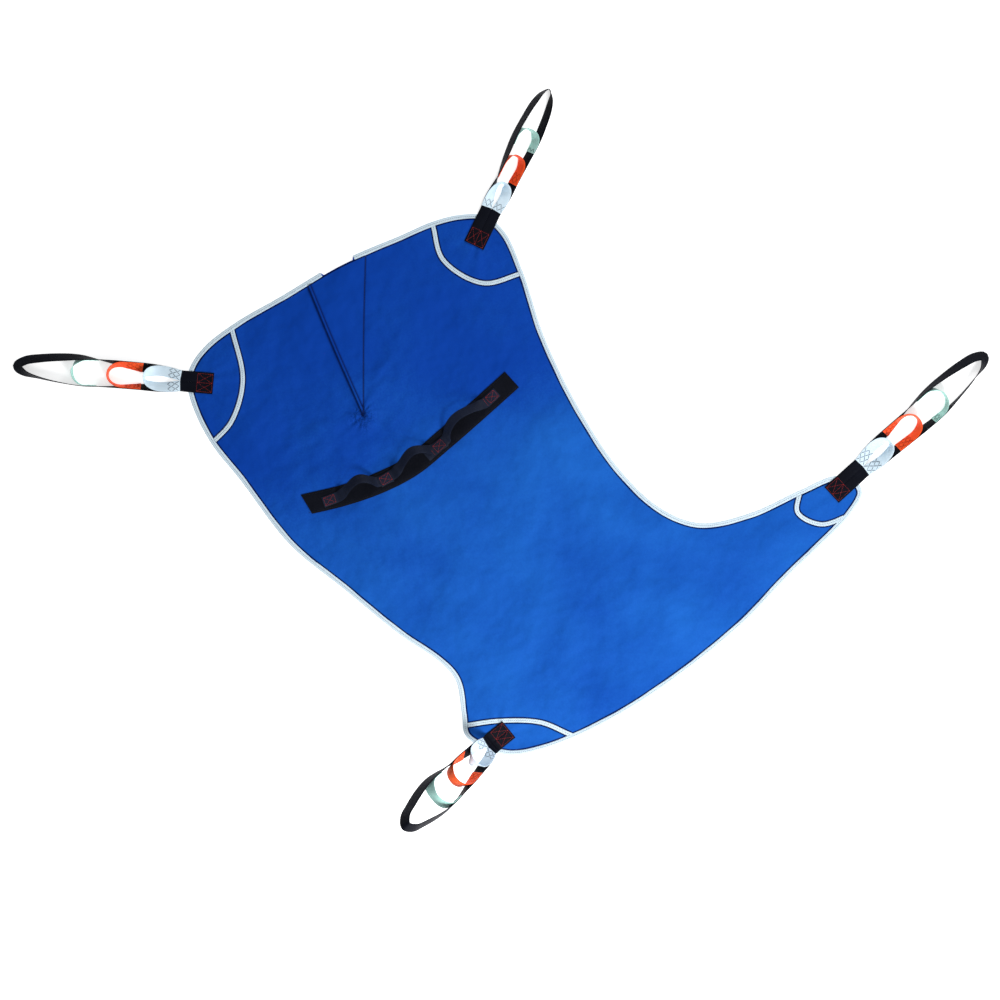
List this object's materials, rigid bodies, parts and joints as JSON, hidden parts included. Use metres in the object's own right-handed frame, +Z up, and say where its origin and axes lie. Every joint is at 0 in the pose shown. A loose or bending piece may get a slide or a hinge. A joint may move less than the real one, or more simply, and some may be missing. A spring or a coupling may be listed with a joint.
{
  "type": "patient lifting sling",
  "caption": "Four-point patient lift sling laid flat: bound blue fabric panel, corner patches, back strip with grab handles, and straps of nested webbing loops",
  "frame": {"origin": "middle of the outline on the surface the sling lies on", "axes": "+Y up the back to the head end, +X towards the swung-out right leg corner, +Z up off the floor"},
  "size_m": [2.0598, 1.4471, 0.3305],
  "materials": {
    "panel_fabric": "woven polyester, royal blue, slight sheen",
    "edge_tape": "pale ice-blue twill binding tape",
    "black_webbing": "flat black webbing, plain ribbed weave",
    "ice_blue_webbing": "pale ice-blue webbing",
    "orange_webbing": "bright orange webbing",
    "green_webbing": "pale sea-green webbing"
  },
  "bodies": {
    "back": {"back_panel": "panel_fabric", "side_binding_left": "edge_tape", "side_binding_right": "edge_tape", "back_strip": "black_webbing", "handle_end_1": "black_webbing", "handle_end_2": "black_webbing", "handle_end_3": "black_webbing", "handle_end_4": "black_webbing"},
    "head": {"head_panel": "panel_fabric", "head_pleat": "panel_fabric", "head_binding_left": "edge_tape", "head_binding_right": "edge_tape", "left_shoulder_patch": "panel_fabric", "left_shoulder_patch_tape": "edge_tape", "left_shoulder_sewn_end": "black_webbing", "right_shoulder_patch": "panel_fabric", "right_shoulder_patch_tape": "edge_tape", "right_shoulder_sewn_end": "black_webbing"},
    "leg": {"leg_panel": "panel_fabric", "leg_binding": "edge_tape", "left_leg_patch": "panel_fabric", "left_leg_patch_tape": "edge_tape", "left_leg_sewn_end": "black_webbing", "right_leg_patch": "panel_fabric", "right_leg_patch_tape": "edge_tape", "right_leg_sewn_end": "black_webbing"},
    "left_shoulder_strap": {"left_shoulder_black_loop": "black_webbing", "left_shoulder_blue_loop": "ice_blue_webbing", "left_shoulder_orange_loop": "orange_webbing", "left_shoulder_green_loop": "green_webbing"},
    "right_shoulder_strap": {"right_shoulder_black_loop": "black_webbing", "right_shoulder_blue_loop": "ice_blue_webbing", "right_shoulder_orange_loop": "orange_webbing", "right_shoulder_green_loop": "green_webbing"},
    "left_leg_strap": {"left_leg_black_loop": "black_webbing", "left_leg_blue_loop": "ice_blue_webbing", "left_leg_orange_loop": "orange_webbing", "left_leg_green_loop": "green_webbing"},
    "right_leg_strap": {"right_leg_black_loop": "black_webbing", "right_leg_blue_loop": "ice_blue_webbing", "right_leg_orange_loop": "orange_webbing", "right_leg_green_loop": "green_webbing"},
    "left_handle": {"handle_1": "black_webbing"},
    "middle_handle": {"handle_2": "black_webbing"},
    "right_handle": {"handle_3": "black_webbing"}
  },
  "joints": [
    {"name": "head_fold", "type": "hinge", "parent": "back", "child": "head", "pos_m": [-0.28, 0.151, 0.0045], "axis": [1, 0, 0], "range_deg": [0, 90]},
    {"name": "leg_fold", "type": "hinge", "parent": "back", "child": "leg", "pos_m": [-0.23, -0.269, 0.0045], "axis": [-1, 0, 0], "range_deg": [0, 90]},
    {"name": "left_shoulder_strap_swing", "type": "hinge", "parent": "head", "child": "left_shoulder_strap", "pos_m": [-0.67274, 0.46461, 0.0062], "axis": [0.5621, 0.8271, 0], "range_deg": [0, 150]},
    {"name": "right_shoulder_strap_swing", "type": "hinge", "parent": "head", "child": "right_shoulder_strap", "pos_m": [0.10332, 0.45221, 0.0062], "axis": [0.5764, -0.8171, 0], "range_deg": [0, 150]},
    {"name": "left_leg_strap_swing", "type": "hinge", "parent": "leg", "child": "left_leg_strap", "pos_m": [-0.46136, -0.63429, 0.0062], "axis": [-0.1736, 0.9848, 0], "range_deg": [-50, 100]},
    {"name": "right_leg_strap_swing", "type": "hinge", "parent": "leg", "child": "right_leg_strap", "pos_m": [0.56989, -0.50141, 0.0062], "axis": [0.2283, -0.9736, 0], "range_deg": [0, 150]},
    {"name": "left_handle_flop", "type": "hinge", "parent": "back", "child": "left_handle", "pos_m": [-0.49378, 0.05679, 0.0149], "axis": [0.9892, -0.1463, 0], "range_deg": [0, 80]},
    {"name": "middle_handle_flop", "type": "hinge", "parent": "back", "child": "middle_handle", "pos_m": [-0.35145, 0.04286, 0.0149], "axis": [0.9986, 0.0522, 0], "range_deg": [0, 80]},
    {"name": "right_handle_flop", "type": "hinge", "parent": "back", "child": "right_handle", "pos_m": [-0.19945, 0.05758, 0.0149], "axis": [0.9705, 0.2411, 0], "range_deg": [0, 80]}
  ]
}
